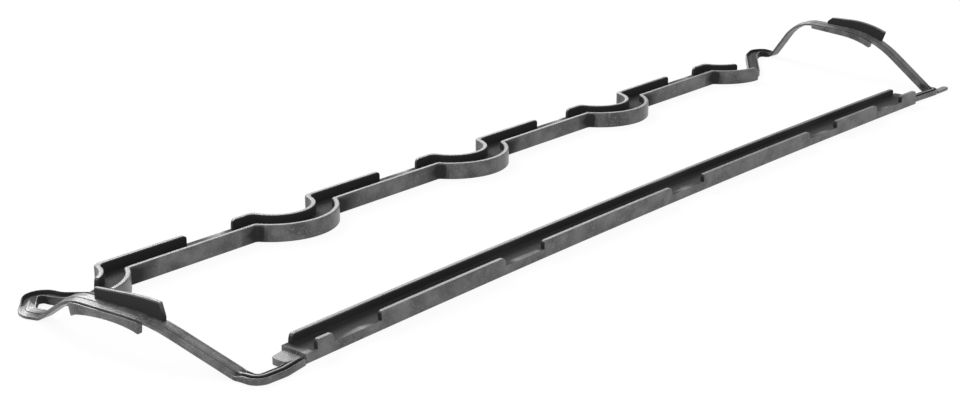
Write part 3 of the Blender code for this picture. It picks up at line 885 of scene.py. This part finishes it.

# %% [markdown]
# Black rubber is not evenly black. Carbon filler makes it dark, a waxy bloom and handling dust
# lift it in soft patches, and the mould leaves a satin skin with a fine grain. Noise at three
# scales gives the patches, the specks and the grain. The measured openness then mixes two
# finishes: where little is open, inside the channels, painted shade as a near-black colour with a
# dull roughness, and the greyer satin outside, where hands reach.

# %% Rubber finish
# Painted shade: the near-black colour that the recesses get in place of the rubber's own colour
PAINTED_SHADE_BLACK = (0.007, 0.0068, 0.007, 1.0)
DEEP = (0.050, 0.049, 0.050, 1.0)
BLOOM = (0.125, 0.122, 0.122, 1.0)
DUST = (0.19, 0.186, 0.182, 1.0)
DULL = 0.78
SATIN = (0.25, 0.38)
SPECULAR = 0.4
REFRACTION = 1.5
# Openness below this turns the colour towards painted shade and the roughness towards dull
UNSHADED_AND_HANDLED_FROM = 0.86
# Noise: scale, detail, and the two levels that become 0 and 1
PATCHES = (160.0, 5.0, 0.36, 0.66)
SPECKS = (1400.0, 4.0, 0.55, 0.80)
GRAIN = (5200.0, 2.0, 0.2, 0.8)
PATCH_SWELL = 2.5
BUMP_STRENGTH = 0.14
BUMP_DEPTH = 0.06


def rubber():
    """Satin black rubber with bloom, dust specks, a fine grain and painted shade in its recesses, on
    Object coordinates.
    """
    material = bpy.data.materials.new("black_rubber")
    material.use_nodes = True
    nodes = material.node_tree.nodes
    links = material.node_tree.links
    shader = nodes["Principled BSDF"]
    shader.inputs["Metallic"].default_value = 0.0
    shader.inputs["Specular IOR Level"].default_value = SPECULAR
    shader.inputs["IOR"].default_value = REFRACTION
    place = nodes.new("ShaderNodeTexCoord")

    def spread(value, low, high):
        """A value stretched so that low becomes 0 and high becomes 1."""
        stretched = nodes.new("ShaderNodeMapRange")
        stretched.inputs["From Min"].default_value = low
        stretched.inputs["From Max"].default_value = high
        links.new(value, stretched.inputs["Value"])
        return stretched.outputs["Result"]

    def noise(scale, detail, low, high):
        """Noise on the piece, spread between two of its levels."""
        texture = nodes.new("ShaderNodeTexNoise")
        texture.inputs["Scale"].default_value = scale
        texture.inputs["Detail"].default_value = detail
        links.new(place.outputs["Object"], texture.inputs["Vector"])
        return spread(texture.outputs["Fac"], low, high)

    def feed(socket, value):
        """Give a socket a fixed value, or link it to another socket."""
        if isinstance(value, bpy.types.NodeSocket):
            links.new(value, socket)
        else:
            socket.default_value = value

    def mixed(factor, first, second):
        """A colour between two others; sockets 6, 7 and 2 are a Mix node's colours."""
        mix = nodes.new("ShaderNodeMix")
        mix.data_type = "RGBA"
        links.new(factor, mix.inputs["Factor"])
        feed(mix.inputs[6], first)
        feed(mix.inputs[7], second)
        return mix.outputs[2]

    def between(factor, first, second):
        """A number between two others."""
        scaled = nodes.new("ShaderNodeMapRange")
        links.new(factor, scaled.inputs["Value"])
        feed(scaled.inputs["To Min"], first)
        feed(scaled.inputs["To Max"], second)
        return scaled.outputs["Result"]

    patches = noise(*PATCHES)
    specks = noise(*SPECKS)
    grain = noise(*GRAIN)
    measured = nodes.new("ShaderNodeAttribute")
    measured.attribute_name = "open"
    unshaded_and_handled = spread(measured.outputs["Fac"], UNSHADED_AND_HANDLED_FROM, 1.0)

    outside = mixed(specks, mixed(patches, DEEP, BLOOM), DUST)
    # Painted shade: where the openness is low, the base colour goes to near black
    links.new(mixed(unshaded_and_handled, PAINTED_SHADE_BLACK, outside), shader.inputs["Base Color"])
    satin = between(patches, *SATIN)
    links.new(between(unshaded_and_handled, DULL, satin), shader.inputs["Roughness"])

    height = nodes.new("ShaderNodeMath")
    height.operation = "MULTIPLY_ADD"
    height.inputs[1].default_value = PATCH_SWELL
    links.new(patches, height.inputs[0])
    links.new(grain, height.inputs[2])
    bump = nodes.new("ShaderNodeBump")
    bump.inputs["Strength"].default_value = BUMP_STRENGTH
    bump.inputs["Distance"].default_value = BUMP_DEPTH * MM
    links.new(height.outputs["Value"], bump.inputs["Height"])
    links.new(bump.outputs["Normal"], shader.inputs["Normal"])
    return material


gasket_mesh.materials.clear()
gasket_mesh.materials.append(rubber())
print("the rubber's finish has", len(gasket_mesh.materials[0].node_tree.nodes), "nodes")

# %% [markdown]
# The photograph is a cut-out on white, so the floor is plain white and keeps only a faint shadow.
# Camera and reflected rays see most of the floor as an even white, and the light still falls on it.

# %% Floor
FLOOR_REACH = 4.0
FLOOR_WHITE = (0.9, 0.9, 0.9, 1.0)
EVEN_WHITE = 0.9


def seen_directly(nodes, links):
    """1 for rays from the camera, a reflection or through glass, 0 for light on the object."""
    path = nodes.new("ShaderNodeLightPath")
    total = path.outputs["Is Camera Ray"]
    for name in ("Is Glossy Ray", "Is Transmission Ray"):
        higher = nodes.new("ShaderNodeMath")
        higher.operation = "MAXIMUM"
        links.new(total, higher.inputs[0])
        links.new(path.outputs[name], higher.inputs[1])
        total = higher.outputs["Value"]
    return total


def floor_finish():
    """Matt white that rays from the camera and from reflections see mostly as an even white."""
    material = bpy.data.materials.new("white_floor")
    material.use_nodes = True
    nodes = material.node_tree.nodes
    links = material.node_tree.links
    shader = nodes["Principled BSDF"]
    shader.inputs["Base Color"].default_value = FLOOR_WHITE
    shader.inputs["Roughness"].default_value = 1.0
    shader.inputs["Specular IOR Level"].default_value = 0.0
    white = nodes.new("ShaderNodeEmission")
    white.inputs["Color"].default_value = (1.0, 1.0, 1.0, 1.0)
    share = nodes.new("ShaderNodeMath")
    share.operation = "MULTIPLY"
    share.inputs[1].default_value = EVEN_WHITE
    links.new(seen_directly(nodes, links), share.inputs[0])
    mix = nodes.new("ShaderNodeMixShader")
    links.new(share.outputs["Value"], mix.inputs["Fac"])
    links.new(shader.outputs["BSDF"], mix.inputs[1])
    links.new(white.outputs["Emission"], mix.inputs[2])
    links.new(mix.outputs["Shader"], nodes["Material Output"].inputs["Surface"])
    return material


work = bmesh.new()
bmesh.ops.create_grid(work, x_segments=1, y_segments=1, size=FLOOR_REACH)
floor_mesh = bpy.data.meshes.new("floor")
work.to_mesh(floor_mesh)
work.free()
floor_mesh.transform(Matrix.Translation((0.0, 0.0, cad_low.z)))
floor_mesh.materials.append(floor_finish())
floor = bpy.data.objects.new("floor", floor_mesh)
bpy.context.scene.collection.objects.link(floor)
print("floor at", round(cad_low.z / MM, 2), "mm")

# %% [markdown]
# Soft light from all round keeps the black readable. Four soft boxes shape it: a high one behind
# the gasket, where the sloping ribbon of the left arch mirrors it towards the camera; a weak low
# one there for the flat tops; one on the left for the ends of the walls; and a wide one near the
# camera for the outer faces.

# %% Light
AMBIENT = 0.7
BOX_DISTANCE = 1.4
SOFT_BOXES = (
    # name, azimuth and elevation in degrees, size in metres, watts
    ("back_box", 44.0, 19.0, 0.5, 2.0),
    ("high_box", 70.0, 36.0, 0.6, 13.0),
    ("left_box", 150.0, 12.0, 0.5, 4.0),
    ("front_box", 232.0, 30.0, 0.8, 5.0),
)

world = bpy.data.worlds.new("studio")
bpy.context.scene.world = world
world.use_nodes = True
world_nodes = world.node_tree.nodes
world_links = world.node_tree.links
background = world_nodes["Background"]
background.inputs["Color"].default_value = (1.0, 1.0, 1.0, 1.0)
strength = world_nodes.new("ShaderNodeMapRange")
strength.inputs["To Min"].default_value = AMBIENT
strength.inputs["To Max"].default_value = 1.0
world_links.new(seen_directly(world_nodes, world_links), strength.inputs["Value"])
world_links.new(strength.outputs["Result"], background.inputs["Strength"])


def direction(azimuth, elevation):
    """The unit vector at an azimuth from +X and an elevation, both in radians."""
    return Vector((math.cos(azimuth) * math.cos(elevation), math.sin(azimuth) * math.cos(elevation),
                   math.sin(elevation)))


def soft_box(name, azimuth, elevation, size, watts):
    """A square area light aimed at the middle of the gasket."""
    lamp = bpy.data.lights.new(name, "AREA")
    lamp.energy = watts
    lamp.shape = "SQUARE"
    lamp.size = size
    box = bpy.data.objects.new(name, lamp)
    towards = direction(math.radians(azimuth), math.radians(elevation))
    aim = towards.to_track_quat("Z", "Y").to_matrix().to_4x4()
    box.matrix_world = Matrix.Translation(towards * BOX_DISTANCE) @ aim
    bpy.context.scene.collection.objects.link(box)


for settings in SOFT_BOXES:
    soft_box(*settings)
print("light from", len(SOFT_BOXES), "soft boxes and a world at", AMBIENT)

# %% [markdown]
# The camera stands where a fit of the lobes and tabs to the photograph puts it: to the near left,
# looking slightly down along the gasket.

# %% Camera
IMAGE_WIDTH = 960
FOCAL_PIXELS = 1800.0
SENSOR_WIDTH = 36.0
CAMERA_FROM_BOLT = Vector((-298.6, -412.5, 193.9))
YAW = math.radians(40.424)
PITCH = math.radians(18.271)
CLIP_START = 0.01

lens = bpy.data.cameras.new("camera")
lens.sensor_width = SENSOR_WIDTH
lens.lens = FOCAL_PIXELS / IMAGE_WIDTH * SENSOR_WIDTH
lens.clip_start = CLIP_START
camera = bpy.data.objects.new("camera", lens)
bpy.context.scene.collection.objects.link(camera)
ahead = direction(YAW, -PITCH)
right = Vector((math.sin(YAW), -math.cos(YAW), 0.0))
upward = right.cross(ahead)
turn = Matrix((right, upward, -ahead)).transposed().to_4x4()
camera.matrix_world = Matrix.Translation((CAMERA_FROM_BOLT + origin) * MM) @ turn
bpy.context.scene.camera = camera
bpy.context.scene.view_settings.view_transform = "Standard"
print("lens of", round(lens.lens, 1), "mm at", [round(value) for value in CAMERA_FROM_BOLT])

# %% [markdown]
# The view layer is brought up to date.

# %% Bring the scene up to date
bpy.context.view_layer.update()
